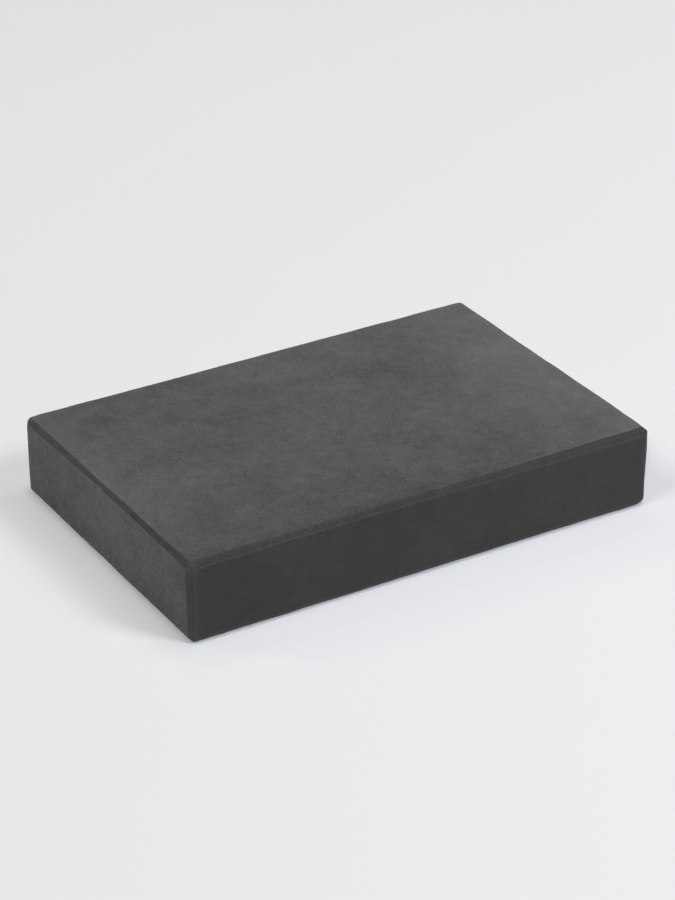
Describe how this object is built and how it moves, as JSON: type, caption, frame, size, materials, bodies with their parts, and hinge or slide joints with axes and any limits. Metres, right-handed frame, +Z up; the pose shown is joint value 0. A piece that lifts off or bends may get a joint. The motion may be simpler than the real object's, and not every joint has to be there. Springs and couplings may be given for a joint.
{
  "type": "foam balance block",
  "caption": "Flat rectangular block of dense closed-cell foam with chamfered edges, stood on or leaned on for balance and support exercises.",
  "frame": {"origin": "centre of the base, on the surface that the block lies on", "axes": "+X along the length, +Y across the width, +Z up through the thickness"},
  "size_m": [0.305, 0.203, 0.051],
  "materials": {
    "foam": "charcoal grey closed-cell foam, velvety where sliced and smoother where cut"
  },
  "bodies": {
    "root": {"foam_block": "foam"}
  },
  "joints": []
}
